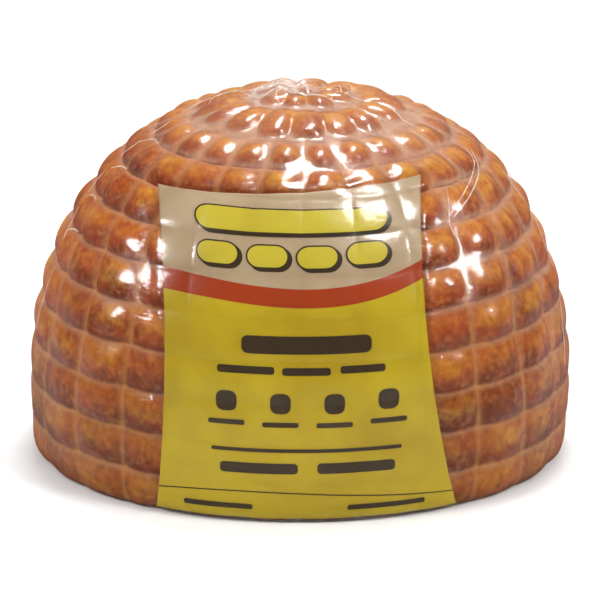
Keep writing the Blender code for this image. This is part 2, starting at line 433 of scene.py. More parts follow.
class Layers:
    """The depths of meat and film below the smooth dome."""

    def __init__(self, place):
        self.place = place
        self.lumps, self.lump_up = crown_lumps(place)
        self.label = under_label(place.smooth, place.arc)
        self.fold, self.creased = creases(place)
        self.hollow = hollow_at(place, self.lumps)
        self.bumps = BUMP_DEPTH * noise_at(place.smooth, BUMP_SIZE, seed=1)
        soft = self.hollow + self.bumps + CREASE_DEPTH * self.creased * (1.0 - self.fold)
        film = self.film_over(soft)
        grain = GRAIN_DEPTH * noise_at(place.smooth, GRAIN_SIZE, seed=2)
        meat = np.maximum(soft + grain, film + MEAT_CLEARANCE) + MEAT_UNDER_LABEL * self.label
        self.film_depth = film - PROUD
        self.meat_depth = meat - PROUD

    def film_over(self, soft):
        """How deep the film lies: it bridges the grooves, and lies smoother on the label."""
        place = self.place
        cling = np.clip(0.5 + CLING_CHANGE * noise_at(place.smooth, CLING_SIZE, seed=3), 0.0, 1.0)
        reach = mixed(*FILM_REACH, cling) + LOOSE_REACH * smoothstep(*LOOSE_ARCS, place.arc)
        bridging = soft_minimum(self.hollow + self.bumps, reach, FILM_SOFTNESS)
        taut = TAUT_DEPTH * (1.0 - place.round_share**TAUT_POWER) + TAUT_BUMPS * self.bumps
        tight = TAUT_SHARE * between(*TAUT_ARCS, place.arc)
        over_label = FILM_ON_LABEL + LABEL_RELIEF * self.hollow + LABEL_RIPPLE * self.bumps
        return mixed(mixed(bridging, np.minimum(taut, soft), tight), over_label, self.label)

    def at_depth(self, depth):
        return self.place.smooth - self.place.normal * depth[:, None]


# Meshes


def ring_plan():
    """(row place, points) of each ring of a fine dome, from its foot to just under the crown."""
    rows = [i / STEPS_UP_FOOT for i in range(STEPS_UP_FOOT)]
    rows += list(np.arange(1.0, CROWN_ROW - 0.5 / STEPS_UP_CELL, 1.0 / STEPS_UP_CELL))
    plan = []
    for row in rows:
        halvings = sum(radius_at(row_arc(row)) < width for width in HALVING_WIDTHS)
        plan.append((row, MERIDIANS * STEPS_ROUND_CELL // 2**halvings))
    return plan


def ring_faces(plan):
    """Faces between the rings, with a fan to the crown and one face across the foot."""
    faces = []
    start = 0
    for (_, count), (_, above) in zip(plan, plan[1:]):
        upper = start + count
        if above == count:
            for i in range(count):
                j = (i + 1) % count
                faces.append((start + i, start + j, upper + j, upper + i))
        else:
            for i in range(above):
                left, middle, right = (start + (2 * i + k) % count for k in range(3))
                faces.append((left, middle, upper + i))
                faces.append((middle, right, upper + (i + 1) % above, upper + i))
        start = upper
    count = plan[-1][1]
    crown = start + count
    faces += [(start + i, start + (i + 1) % count, crown) for i in range(count)]
    faces.append(tuple(reversed(range(plan[0][1]))))
    return faces


def add_object(name, data):
    added = bpy.data.objects.new(name, data)
    bpy.context.scene.collection.objects.link(added)
    return added


def mesh_piece(name, points, faces, materials, masks=None, face_materials=None):
    data = bpy.data.meshes.new(name)
    data.from_pydata([tuple(point) for point in points], [], faces)
    for mask, values in (masks or {}).items():
        layer = data.attributes.new(mask, "FLOAT", "POINT")
        layer.data.foreach_set("value", np.asarray(values, np.float32))
    for finish in materials:
        data.materials.append(finish)
    if face_materials is not None:
        data.polygons.foreach_set("material_index", np.asarray(face_materials, np.int32))
    data.shade_smooth()
    return add_object(name, data)


# Shader helpers


class Shader:
    """Short ways to add and link the nodes of one material."""

    def __init__(self, name):
        self.material = bpy.data.materials.new(name)
        self.material.use_nodes = True
        self.tree = self.material.node_tree
        self.tree.nodes.clear()
        self.output = self.add("ShaderNodeOutputMaterial")

    def add(self, kind, settings=None, **inputs):
        node = self.tree.nodes.new(kind)
        for key, value in (settings or {}).items():
            setattr(node, key, value)
        for key, value in inputs.items():
            self.put(node, key.replace("_", " "), value)
        return node

    def put(self, node, key, value):
        socket = node.inputs[int(key)] if key.isdigit() else node.inputs[key]
        if isinstance(value, bpy.types.NodeSocket):
            self.tree.links.new(value, socket)
        else:
            socket.default_value = value

    def mask(self, name):
        return self.add("ShaderNodeAttribute", {"attribute_name": name}).outputs["Fac"]

    def place(self):
        return self.add("ShaderNodeTexCoord").outputs["Object"]

    def noise(self, scale, detail=3.0, roughness=0.55, place=None):
        node = self.add("ShaderNodeTexNoise", Scale=scale, Detail=detail, Roughness=roughness)
        self.put(node, "Vector", place or self.place())
        return node.outputs["Fac"]

    def math(self, operation, a, b=0.0, clamp=False):
        node = self.add("ShaderNodeMath", {"operation": operation, "use_clamp": clamp})
        self.put(node, "0", a)
        self.put(node, "1", b)
        return node.outputs[0]

    def span(self, value, low, high, to_low=0.0, to_high=1.0):
        node = self.add("ShaderNodeMapRange", {"clamp": True})
        for key, number in zip("01234", (value, low, high, to_low, to_high)):
            self.put(node, key, number)
        return node.outputs[0]

    def ramp(self, value, stops):
        node = self.add("ShaderNodeValToRGB", Fac=value)
        elements = node.color_ramp.elements
        while len(elements) < len(stops):
            elements.new(0.5)
        for element, (position, colour) in zip(elements, stops):
            element.position = position
            element.color = colour
        return node.outputs["Color"]

    def mix(self, share, a, b, blend="MIX"):
        node = self.add("ShaderNodeMix", {"data_type": "RGBA", "blend_type": blend})
        for socket, value in ((0, share), (6, a), (7, b)):
            self.put(node, str(socket), value)
        return node.outputs[2]

    def mix_shaders(self, share, a, b):
        node = self.add("ShaderNodeMixShader", Fac=share)
        self.tree.links.new(a.outputs[0], node.inputs[1])
        self.tree.links.new(b.outputs[0], node.inputs[2])
        return node

    def bump(self, height, distance):
        node = self.add("ShaderNodeBump", Height=height, Distance=distance, Strength=1.0)
        return node.outputs["Normal"]

    def length(self, vector):
        node = self.add("ShaderNodeVectorMath", {"operation": "LENGTH"})
        self.put(node, "0", vector)
        return node.outputs["Value"]

    def finish(self, surface):
        self.tree.links.new(surface.outputs[0], self.output.inputs["Surface"])
        return self.material


# Materials

# The meat's colours from dark to light, picked by a mask that paints shade on the cells' undersides and
# light on their tops, and what tints parts of it
MEAT_TONES = (
    (0.0, linear(92, 31, 6)),
    (0.22, linear(113, 43, 10)),
    (0.45, linear(137, 58, 18)),
    (0.68, linear(154, 78, 27)),
    (1.0, linear(176, 110, 42)),
)
GOLD = linear(184, 132, 40)
FLECK = linear(194, 138, 68)
LIP_COLOUR = linear(170, 122, 88)
LINE_COLOUR = linear(174, 118, 64)
# The tint of the foot's painted shade, which darkens and browns it
FOOT_SHADE_TINT = (0.8, 0.88, 0.61, 1.0)
MEAT_BUMP = 0.4 * MM

# The cut face, the pale seams between its muscles, and its browned rim
CUT_TONES = (
    (0.25, linear(196, 116, 104)),
    (0.55, linear(216, 142, 126)),
    (0.8, linear(232, 172, 154)),
)
SEAM_COLOUR = linear(238, 206, 184)
RIM_COLOUR = linear(158, 92, 60)
RIM_RADII = (49.0 * MM, 64.0 * MM)
CUT_BUMP = 0.2 * MM

# The film: its tints where it is clear, its colours where it is milky, its refractive index, the most
# that its far edges may mirror, and the share of softer gloss
FILM_TINT = (0.985, 0.975, 0.96, 1.0)
FOLD_TINT = (0.98, 0.97, 0.96, 1.0)
FOLD_WHITE = linear(226, 206, 192)
HAZE_COLOUR = linear(196, 158, 134)
GATHER_COLOUR = linear(220, 211, 204)
WHITE = (1.0, 1.0, 1.0, 1.0)
FILM_INDEX = 1.27
RIM_GLOSS = 0.06
SOFT_GLOSS = 0.35
FILM_BUMP = 0.12 * MM
CRINKLE_STRETCH = (1.0, 1.0, 3.5)

# The print's colours, and the share of each channel left where it is darkest
BEIGE = linear(155, 136, 109)
RED = linear(139, 49, 13)
YELLOW = linear(162, 142, 22)
INK = linear(50, 38, 22)
PLAQUE = linear(168, 154, 44)
INK_SHADE = (0.62, 0.5, 0.4)

FLOOR_TONES = ((0.3, (0.80, 0.80, 0.80, 1.0)), (0.7, (0.83, 0.83, 0.83, 1.0)))


def meat_material():
    s = Shader("cooked_meat")
    mottle = s.noise(380.0, 5.0, 0.6)
    blotch = s.noise(170.0, 4.0, 0.6)
    fibres = s.noise(1300.0, 3.0, 0.65)
    specks = s.noise(700.0, 3.0, 0.55)
    # The tone mask carries painted shade and light up each cell, in the creases and at the foot, as
    # well as the meat's own tone
    tone_and_shade = s.math("ADD", s.mask("tone_and_shade"), s.span(mottle, 0.3, 0.7, -0.2, 0.2))
    tone_and_shade = s.math("ADD", tone_and_shade, s.span(fibres, 0.3, 0.7, -0.08, 0.08), clamp=True)
    colour = s.ramp(tone_and_shade, MEAT_TONES)
    # Gold, partly the skin's own colour and partly a painted highlight on the cells' upper halves
    gold_and_highlight = s.math("MULTIPLY", s.span(blotch, 0.38, 0.58, 0.15, 1.0), s.mask("gold_and_highlight"))
    colour = s.mix(s.math("MULTIPLY", gold_and_highlight, s.span(mottle, 0.35, 0.6, 0.35, 1.0)), colour, GOLD)
    colour = s.mix(s.span(specks, 0.5, 0.72, 0.0, 0.26), colour, FLECK)
    for mask, least, tint in (("lip", 0.65, LIP_COLOUR), ("line", 0.55, LINE_COLOUR)):
        pale = s.math("MULTIPLY", s.mask(mask), s.span(mottle, 0.25, 0.65, least, 1.0))
        colour = s.mix(pale, colour, tint)
    # Painted shade at the foot: darker and browner
    colour = s.mix(s.mask("low"), colour, s.mix(1.0, colour, FOOT_SHADE_TINT, "MULTIPLY"))
    skin = s.add(
        "ShaderNodeBsdfPrincipled",
        Base_Color=colour,
        Roughness=0.6,
        Specular_IOR_Level=0.0,
        Subsurface_Weight=0.05,
        Subsurface_Radius=(1.0, 0.35, 0.15),
        Subsurface_Scale=1.0 * MM,
        Normal=s.bump(s.math("ADD", mottle, s.math("MULTIPLY", fibres, 0.3)), MEAT_BUMP),
    )
    return s.finish(skin)


def cut_face_material():
    s = Shader("cut_face")
    warp = s.add("ShaderNodeTexNoise", Vector=s.place(), Scale=28.0, Detail=2.0)
    warped = s.mix(0.03, s.place(), warp.outputs["Color"], "ADD")
    edges = {"feature": "DISTANCE_TO_EDGE"}
    muscles = s.add("ShaderNodeTexVoronoi", edges, Vector=warped, Scale=34.0)
    seam = s.span(muscles.outputs["Distance"], 0.0, 0.09, 0.45, 0.0)
    rim = s.span(s.length(s.place()), *RIM_RADII, 0.0, 0.55)
    grain = s.noise(520.0, 6.0, 0.65)
    colour = s.mix(seam, s.ramp(grain, CUT_TONES), SEAM_COLOUR)
    face = s.add(
        "ShaderNodeBsdfPrincipled",
        Base_Color=s.mix(rim, colour, RIM_COLOUR),
        Roughness=0.45,
        Subsurface_Weight=0.15,
        Subsurface_Radius=(1.0, 0.4, 0.25),
        Subsurface_Scale=2.0 * MM,
        Normal=s.bump(grain, CUT_BUMP),
    )
    return s.finish(face)


def film_bump(s):
    """Ripples and fine grain all over, and crinkles in patches."""
    ripple = s.noise(230.0, 3.0, 0.5)
    fine = s.noise(1400.0, 2.0, 0.5)
    stretch = s.add("ShaderNodeMapping", Scale=CRINKLE_STRETCH, Vector=s.place())
    patches = s.span(s.noise(75.0, 2.0), 0.42, 0.62, 0.1, 0.8)
    crinkle = s.math("MULTIPLY", s.noise(420.0, 2.0, 0.5, stretch.outputs["Vector"]), patches)
    height = s.math("ADD", s.math("ADD", ripple, s.math("MULTIPLY", fine, 0.1)), crinkle)
    return s.bump(height, FILM_BUMP)


def film_material():
    """Clear film, milky by its masks, with a sharp and a softer gloss over both."""
    s = Shader("shrink_film")
    cloud = s.noise(150.0, 4.0, 0.6)
    haze = s.math("MULTIPLY", s.mask("haze"), s.span(cloud, 0.3, 0.7, 0.4, 1.0), clamp=True)
    milk = s.add("ShaderNodeBsdfDiffuse", Color=s.mix(s.mask("gather"), HAZE_COLOUR, GATHER_COLOUR))
    clear = s.add("ShaderNodeBsdfTransparent", Color=FILM_TINT)
    body = s.mix_shaders(haze, clear, milk)
    bump = film_bump(s)
    sharp = s.add("ShaderNodeBsdfAnisotropic", Color=WHITE, Roughness=0.11, Normal=bump)
    soft = s.add("ShaderNodeBsdfAnisotropic", Color=WHITE, Roughness=0.3, Normal=bump)
    fresnel = s.add("ShaderNodeFresnel", IOR=FILM_INDEX, Normal=bump)
    mirrored = s.math("MINIMUM", fresnel.outputs[0], RIM_GLOSS)
    return s.finish(s.mix_shaders(mirrored, body, s.mix_shaders(SOFT_GLOSS, sharp, soft)))


def fold_material():
    """Doubled film along a fold: whitish, and shinier than the flat film."""
    s = Shader("film_fold")
    streak = s.noise(900.0, 2.0)
    white = s.add("ShaderNodeBsdfPrincipled", Base_Color=FOLD_WHITE, Roughness=0.12)
    clear = s.add("ShaderNodeBsdfTransparent", Color=FOLD_TINT)
    return s.finish(s.mix_shaders(s.span(streak, 0.35, 0.65, 0.45, 0.85), clear, white))


def print_material(name, colour, groove_shade=0.25):
    """A printed colour, with painted shade where it lies over the grooves between the meat's cells
    beneath it.
    """
    s = Shader(name)
    cloud = s.noise(90.0, 3.0)
    blotch = s.noise(38.0, 2.0)
    # Painted shade over the grooves beneath the label
    shade = s.math("MULTIPLY", s.mask("cells"), groove_shade)
    shade = s.math("ADD", shade, s.span(cloud, 0.35, 0.65, -0.12, 0.2))
    shade = s.math("ADD", shade, s.span(blotch, 0.4, 0.62, -0.08, 0.26), clamp=True)
    dark = tuple(channel * share for channel, share in zip(colour, INK_SHADE)) + (1.0,)
    ink = s.add(
        "ShaderNodeBsdfPrincipled",
        Base_Color=s.mix(shade, colour, dark),
        Roughness=0.34,
        Specular_IOR_Level=0.05,
    )
    return s.finish(ink)


def floor_material():
    s = Shader("studio_floor")
    colour = s.ramp(s.noise(60.0, 4.0), FLOOR_TONES)
    return s.finish(s.add("ShaderNodeBsdfPrincipled", Base_Color=colour, Roughness=0.8))


# The meat's masks

# The upper right of the dome, as sines of the turn and as arcs, and the arcs where the foot and its
# painted shade end
UPPER_RIGHT = ((0.15, 0.8), (32.0 * MM, 66.0 * MM))
LOW_ARCS = (10.0 * MM, 60.0 * MM)

# What makes the meat lighter, or darker where the weight is below 0, how it does so up a cell, and the
# sizes of its patches.
# Up a cell, in the creases and towards the foot this is painted light and shade: lit tops and shaded
# undersides, shaded creases with lit crests, and a shaded foot.
BASE_TONE = 0.22
CELL_RISE = (0.0, 0.8)
TONE_WEIGHTS = {
    "up_cell": 0.4,
    "cell": 0.26,
    "broad": 0.2,
    "patches": 0.18,
    "creases": 0.5,
    "loose": 0.18,
    "upper_right": 0.1,
    "low": -0.16,
}
BROAD_SIZE = 22.0 * MM
PATCH_SIZE = 4.5 * MM

# Where the gold lies up a cell, where it is partly a painted highlight on the upper half, the least of
# it, and how rare the most golden cells are
GOLD_SPAN = (0.2, 0.5, 0.76, 0.96)
GOLD_LEAST = 0.1
GOLD_RARITY = 1.5

# The pale lip at a cell's upper edge, low down and in the loose part, and between the crown's lumps
LIP_REACH = (0.82, 0.96)
LOOSE_LIP_REACH = (0.7, 0.94)
LIP_LEAST = 0.8
LIP_AT_CROWN = 0.85

# The pale line along a meridian, lower down and in the loose part
LINE_WIDTHS = (0.75 * MM, 1.1 * MM)
LINE_STRENGTH = 0.75

# The share of each mask that is lost at the foot
FOOT_LOSS = {"gold_and_highlight": 0.35, "lip": 0.3, "line": 0.25}


def upper_right(place):
    """1 over the upper right of the dome, where the film stands off the meat, which is paler."""
    sines, arcs = UPPER_RIGHT
    return smoothstep(*sines, np.sin(place.turn)) * smoothstep(*arcs, place.arc)


def tone_mask(layers, up, low, loose):
    """From dark undersides to lighter tops: painted shade and light up each cell, in the creases and at
    the foot, over the meat's own patches.
    """
    place = layers.place
    # up_cell paints shade on each cell's underside and light on its top, creases paints shade in each
    # crease and light on its crests, and low paints shade at the foot
    parts = {
        "up_cell": smoothstep(*CELL_RISE, up),
        "cell": place.random(seed=5) - 0.5,
        "broad": noise_at(place.smooth, BROAD_SIZE, seed=4),
        "patches": noise_at(place.smooth, PATCH_SIZE, seed=6),
        "creases": layers.creased * (layers.fold - 0.5),
        "loose": loose,
        "upper_right": upper_right(place),
        "low": low,
    }
    return BASE_TONE + sum(TONE_WEIGHTS[name] * part for name, part in parts.items())


def gold_mask(place, up):
    """The golden middle of some cells, partly the skin's own colour and partly a painted highlight on
    their upper halves.
    """
    middle = between(*GOLD_SPAN, up) * mixed(place.round_share, 1.0, place.crown)
    return middle * mixed(GOLD_LEAST, 1.0, place.random(seed=8) ** GOLD_RARITY)


def lip_mask(layers, loose):
    """The pale upper edge of a cell, and the pale meat between the crown's lumps."""
    place = layers.place
    low_lip, loose_lip = (smoothstep(*reach, place.up_cell) for reach in (LIP_REACH, LOOSE_LIP_REACH))
    lip = mixed(low_lip, loose_lip, loose) * mixed(LIP_LEAST, 1.0, place.random(seed=7))
    return mixed(lip, LIP_AT_CROWN * (1.0 - layers.lumps) ** 2, place.crown)


def line_mask(place, loose):
    """The pale mark of a meridian."""
    mean_radius = radius_at(place.arc) * (1.0 + DEPTH_RATIO) / 2.0
    cell_width = FULL_TURN * mean_radius / MERIDIANS
    aside = np.minimum(place.across_cell, 1.0 - place.across_cell) * cell_width
    line = np.exp(-((aside / mixed(*LINE_WIDTHS, loose)) ** 2))
    return LINE_STRENGTH * line * (1.0 - place.crown)


def meat_masks(layers):
    """What the meat's material reads at each point. The mask low is painted shade that darkens and
    browns the foot.
    """
    place = layers.place
    up = mixed(place.up_cell, layers.lump_up, place.crown)
    low = 1.0 - smoothstep(*LOW_ARCS, place.arc)
    loose = smoothstep(*LOOSE_ARCS, place.arc)
    masks = {
        "tone_and_shade": tone_mask(layers, up, low, loose),
        "gold_and_highlight": gold_mask(place, up),
        "lip": lip_mask(layers, loose),
        "line": line_mask(place, loose),
        "low": low,
    }
    for name, loss in FOOT_LOSS.items():
        masks[name] = masks[name] * (1.0 - loss * low)
    return {name: np.clip(mask, 0.0, 1.0) for name, mask in masks.items()}


# The film's gather and haze

# How milky the film is over a hollow, low down and over the crown, how hollow that is as shares of
# the grooves' depth, and what the upper right adds to both
FILM_HAZE = (0.08, 0.5)
HAZE_HOLLOWS = (0.4, 1.0)
RIGHT_HAZE = 0.3
RIGHT_HOLLOW = 0.1

# Haze that lies evenly over the crown and over the upper right, and in the gather with its power
CROWN_HAZE_ARCS = (76.0 * MM, 106.0 * MM)
EVEN_HAZE = (0.15, 0.05)
GATHER_HAZE = (0.5, 1.3)


def gather_rise(place):
    """The height of the film's gather, and 1 in its middle, falling to 0 round it."""
    x, y = place.smooth[:, 0] - GATHER_CENTRE[0], place.smooth[:, 1] - GATHER_CENTRE[1]
    share = np.hypot(x, y) / GATHER_RADIUS
    angle = np.arctan2(y, x)
    pleats = np.zeros_like(share)
    for count, twist, start, strength in PLEATS:
        pleats += strength * np.cos(count * angle + twist * share + start)
    dome = GATHER_RISE * np.exp(-GATHER_FALL * share**2)
    rise = dome * (1.0 + pleats * smoothstep(*PLEAT_REACH, share))
    on_top = place.smooth[:, 2] > WIDEST_HEIGHT
    return np.where(on_top, rise, 0.0), np.where(on_top, np.exp(-share**2), 0.0)


def film_haze(layers, gather):
    """How milky the film is: where it stands off the meat, over the crown and in its gather."""
    crown = smoothstep(*CROWN_HAZE_ARCS, layers.place.arc)
    right = upper_right(layers.place)
    most = mixed(*FILM_HAZE, crown) + RIGHT_HAZE * right * (1.0 - crown)
    over_hollows = smoothstep(*HAZE_HOLLOWS, layers.hollow / GROOVE_DEPTH + RIGHT_HOLLOW * right)
    haze = over_hollows * most + EVEN_HAZE[0] * crown + EVEN_HAZE[1] * right
    return np.maximum(haze * (1.0 - layers.label), GATHER_HAZE[0] * gather ** GATHER_HAZE[1])


# The meat and the film


def dome_layers(plan):
    """The layers at the points of a fine dome's rings and at its crown."""
    rows = np.concatenate([np.full(count, row) for row, count in plan] + [[CROWN_ROW]])
    even = np.concatenate([np.arange(count) * FULL_TURN / count for _, count in plan] + [[0.0]])
    return Layers(Place((even + math.pi) % FULL_TURN - math.pi, rows))


def build_ham(meat, cut_face, film):
    plan = ring_plan()
    layers = dome_layers(plan)
    faces = ring_faces(plan)
    face_materials = [0] * (len(faces) - 1) + [1]
    meat_points = layers.at_depth(layers.meat_depth)
    meat_points[:, 2] = np.maximum(meat_points[:, 2], MEAT_CLEARANCE)
    finishes = (meat, cut_face)
    ham = mesh_piece("ham_meat", meat_points, faces, finishes, meat_masks(layers), face_materials)
    rise, gather = gather_rise(layers.place)
    film_points = layers.at_depth(layers.film_depth)
    film_points[:, 2] += rise
    film_masks = {"haze": film_haze(layers, gather), "gather": gather}
    skin = mesh_piece("shrink_film", film_points, faces, (film,), film_masks)
    for piece in (ham, skin):
        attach(piece, "root")
        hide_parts("wrapped_ham")


# Folds of doubled film, each as its width and the points that it runs through, in millimetres: (turn
# in degrees, arc), or over the crown (x, y). The taut folds bridge the grooves.

SIDE_FOLDS = (
    (0.3, (79, 86), (70.5, 81.5), (63.5, 79.2), (57, 77.2), (50, 74.8), (45, 72.8)),
    (0.24, (78, 87.3), (70, 83), (62.5, 80.6), (55.5, 78.4), (48.5, 75.8), (44, 73.4)),
    (0.2, (48, 80.5), (45.5, 76), (43, 71.5), (43.5, 67)),
    (0.2, (-112, 84), (-118, 76), (-121, 66), (-120, 56)),
    (0.24, (152, 92), (158, 84), (163, 74), (160, 62), (154, 52)),
    (0.2, (118, 66), (124, 58), (127, 47)),
    (0.2, (-158, 48), (-150, 42), (-140, 39), (-131, 39)),
)
TAUT_FOLDS = (
    (0.2, (-100, 114.8), (-95.5, 110.2), (-90.5, 105.2), (-84.5, 100)),
    (0.24, (-80, 97.2), (-78, 94.2), (-78.5, 91)),
    (0.24, (-79, 88.6), (-79.5, 86), (-80.5, 82.4)),
    (0.2, (-80.5, 77.8), (-80.5, 74), (-79.5, 70.8)),
    (0.2, (-79, 67), (-78, 61), (-77.5, 58.6)),
    (0.18, (-76, 52), (-77, 43.2), (-78.5, 34)),
    (0.22, (83, 76.8), (81.5, 71.8), (82, 68)),
    (0.2, (82, 63), (79.5, 56.8), (80, 50.5)),
    (0.2, (78, 43.5), (76, 36), (75, 27.2)),
    (0.26, (-78, 61), (-74, 62.4), (-70, 62.8)),
    (0.3, (-78, 79), (-73, 81), (-68, 81.4)),
    (0.26, (-79, 88), (-72, 91), (-66, 90.6)),
    (0.2, (-80, 70), (-75, 71.6), (-71, 71.4)),
)
CROWN_FOLDS = (
    (0.36, (-14.1, 2.3), (-10.7, -1.3), (-9.1, -3.4), (-6.7, -2.7), (-4.1, -0.1)),
    (0.36, (-4.1, -0.1), (-1.9, -3.6), (2.3, -5.3), (4.7, -5.7), (6.6, -5.2), (10.2, 0.2)),
    (0.3, (11.9, 0.1), (15.4, -2.2), (18.8, -3.7), (22.4, -6.4), (25.8, -8.9), (29.2, -11.4)),
    (0.3, (-14, 2.4), (-18.5, 2.6), (-22, 1), (-26, -1.5)),
    (0.26, (-4.2, -0.1), (-5.6, -4), (-4.6, -9)),
    (0.26, (10.4, 0.4), (12.5, 6), (10, 11.5)),
    (0.34, (-14, 2.6), (-11, 7), (-6, 9), (-1.5, 6.5)),
    (0.34, (-1.5, 6.5), (3, 10.5), (8, 8), (10.2, 0.4)),
    (0.3, (-7, 2), (-4.5, 4.5), (-1, 2.5)),
    (0.3, (-9, 0.5), (-8.8, 4.2), (-5.5, 6)),
    (0.3, (-11.5, 1), (-7.5, 3.2), (-3, 1.6), (1.5, 3.4), (6, 2.2)),
)
FOLD_STEPS = 12
FOLD_SIDES = 6
FOLD_FLATNESS = 0.6
FOLD_END_SHARE = 0.15


def crown_turn_arc(x, y):
    """The turn and arc of points given in plan over the crown."""
    x = x - LEAN * (HEIGHT - WIDEST_HEIGHT)
    radius = np.hypot(x, y / DEPTH_RATIO)
    return np.arctan2(x, -y / DEPTH_RATIO), np.interp(-radius, -RADII, ARCS)


def smooth_path(points):
    """A Catmull-Rom curve through a few points."""
    points = np.array(points, float)
    ends = np.vstack([2 * points[0] - points[1], points, 2 * points[-1] - points[-2]])
    path = []
    for a, b, c, d in zip(ends, ends[1:], ends[2:], ends[3:]):
        for t in np.arange(FOLD_STEPS) / FOLD_STEPS:
            bend = (2 * a - 5 * b + 4 * c - d) * t**2 + (3 * (b - c) + d - a) * t**3
            path.append(0.5 * (2 * b + (c - a) * t + bend))
    return np.vstack(path + [points[-1]])


def fold_tube(turn, arc, width, taut=False):
    """Points of a flattened tube along the film, or taut over its grooves, thin at both ends."""
    place = place_at(turn, arc)
    layers = Layers(place)
    centre = layers.at_depth(np.full(len(arc), -PROUD) if taut else layers.film_depth)
    centre[:, 2] += gather_rise(place)[0]
    side = np.cross(np.gradient(centre, axis=0), place.normal)
    side /= np.linalg.norm(side, axis=1, keepdims=True)
    swell = np.sin(math.pi * np.linspace(0.02, 0.98, len(arc))) ** 0.5
    half_width = width / 2.0 * mixed(FOLD_END_SHARE, 1.0, swell)
    lines = []
    for k in range(FOLD_SIDES):
        angle = FULL_TURN * k / FOLD_SIDES
        spoke = side * math.cos(angle) + place.normal * (FOLD_FLATNESS * math.sin(angle))
        lines.append(centre + spoke * half_width[:, None])
    return np.stack(lines, axis=1).reshape(-1, 3)


def tube_faces(start, count):
    faces = []
    for i in range(count - 1):
        for k in range(FOLD_SIDES):
            a, b = start + i * FOLD_SIDES + k, start + i * FOLD_SIDES + (k + 1) % FOLD_SIDES
            faces.append((a, b, b + FOLD_SIDES, a + FOLD_SIDES))
    faces.append(tuple(start + k for k in reversed(range(FOLD_SIDES))))
    faces.append(tuple(start + (count - 1) * FOLD_SIDES + k for k in range(FOLD_SIDES)))
    return faces


def fold_tubes():
    tubes = []
    for folds, taut in ((SIDE_FOLDS, False), (TAUT_FOLDS, True)):
        for width, *points in folds:
            path = smooth_path(points)
            tubes.append(fold_tube(np.radians(path[:, 0]), path[:, 1] * MM, width * MM, taut))
    for width, *points in CROWN_FOLDS:
        path = smooth_path(points) * MM
        tubes.append(fold_tube(*crown_turn_arc(path[:, 0], path[:, 1]), width * MM))
    return tubes


def build_folds(finish):
    tubes = fold_tubes()
    faces = []
    start = 0
    for tube in tubes:
        faces += tube_faces(start, len(tube) // FOLD_SIDES)
        start += len(tube)
    piece = mesh_piece("film_folds", np.vstack(tubes), faces, (finish,))
    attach(piece, "root")


# The label

# Its mesh: columns of faces across, and its fields from the foot up as (rows of faces, finish)
LABEL_COLUMNS = 120
LABEL_FINISHES = ("yellow", "red", "beige", "ink")
LABEL_FIELDS = ((10, "yellow"), (1, "ink"), (80, "yellow"), (8, "red"), (48, "beige"))


def label_x(across, up):
    return quadratic(LABEL_LEFT, up) * (1.0 - across) + quadratic(LABEL_RIGHT, up) * across


def label_arc(across, up):
    return LABEL_FOOT_ARC + (mixed(*LABEL_TOP_ARCS, across) - LABEL_FOOT_ARC) * up


def on_label(x, arc, lift=0.0):
    """Points on the label at places given by x and arc, and the shade of the cells beneath."""
    height, radius = height_at(arc), radius_at(arc)
    place = place_at(np.arcsin((x - LEAN * (height - WIDEST_HEIGHT)) / radius), arc)
    hollow = hollow_at(place, np.zeros_like(arc))
    depth = PRINT_DEPTH - PROUD + LABEL_RELIEF * hollow - lift
    return place.smooth - place.normal * depth[:, None], np.clip(hollow / GROOVE_DEPTH, 0.0, 1.0)


def border(across, cubic):
    """How far up the label a border lies, found by stepping from its height as a cubic of x."""
    up = np.full_like(across, BORDER_GUESS)
    top = label_arc(across, 1.0)
    for _ in range(BORDER_ROUNDS):
        x = label_x(across, up) / MM
        height = sum(number * x**power for power, number in enumerate(cubic)) * MM
        up = (arc_at(height) - LABEL_FOOT_ARC) / (top - LABEL_FOOT_ARC)
    return up


def label_rows(across):
    """The rows of points up the label, and the finish of each row of faces between them."""
    rule_top = (RULE_FOOT[0] + RULE_HEIGHT, *RULE_FOOT[1:])
    inner = [border(across, cubic) for cubic in (RULE_FOOT, rule_top, BAND_FOOT, BAND_TOP)]
    borders = [np.zeros_like(across), *inner, np.ones_like(across)]
    rows = [borders[0]]
    finishes = []
    for low, high, (count, finish) in zip(borders, borders[1:], LABEL_FIELDS):
        rows += [low + (high - low) * (i + 1) / count for i in range(count)]
        finishes += [LABEL_FINISHES.index(finish)] * count
    return rows, finishes


def build_label(prints):
    across = np.linspace(0.0, 1.0, LABEL_COLUMNS + 1)
    rows, row_finishes = label_rows(across)
    x = np.concatenate([label_x(across, up) for up in rows])
    arc = np.concatenate([label_arc(across, up) for up in rows])
    points, shade = on_label(x, arc)
    faces = grid_faces(0, len(row_finishes), LABEL_COLUMNS)
    materials = [prints[name] for name in LABEL_FINISHES]
    finishes = np.repeat(row_finishes, LABEL_COLUMNS)
    piece = mesh_piece("label_print", points, faces, materials, {"cells": shade}, finishes)
    thickness = piece.modifiers.new("thickness", "SOLIDIFY")
    thickness.thickness = PRINT_THICKNESS
    thickness.offset = -1.0
    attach(piece, "root")
    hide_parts("label")


def grid_faces(start, rows, columns):
    width = columns + 1
    corners = [(start + j * width + i) for j in range(rows) for i in range(columns)]
    return [(a, a + 1, a + width + 1, a + width) for a in corners]


# The size of a mark's faces along and across it, and the least half height at its round ends
MARK_STEPS = (0.3 * MM, 0.35 * MM)
LEAST_REACH = 0.01 * MM


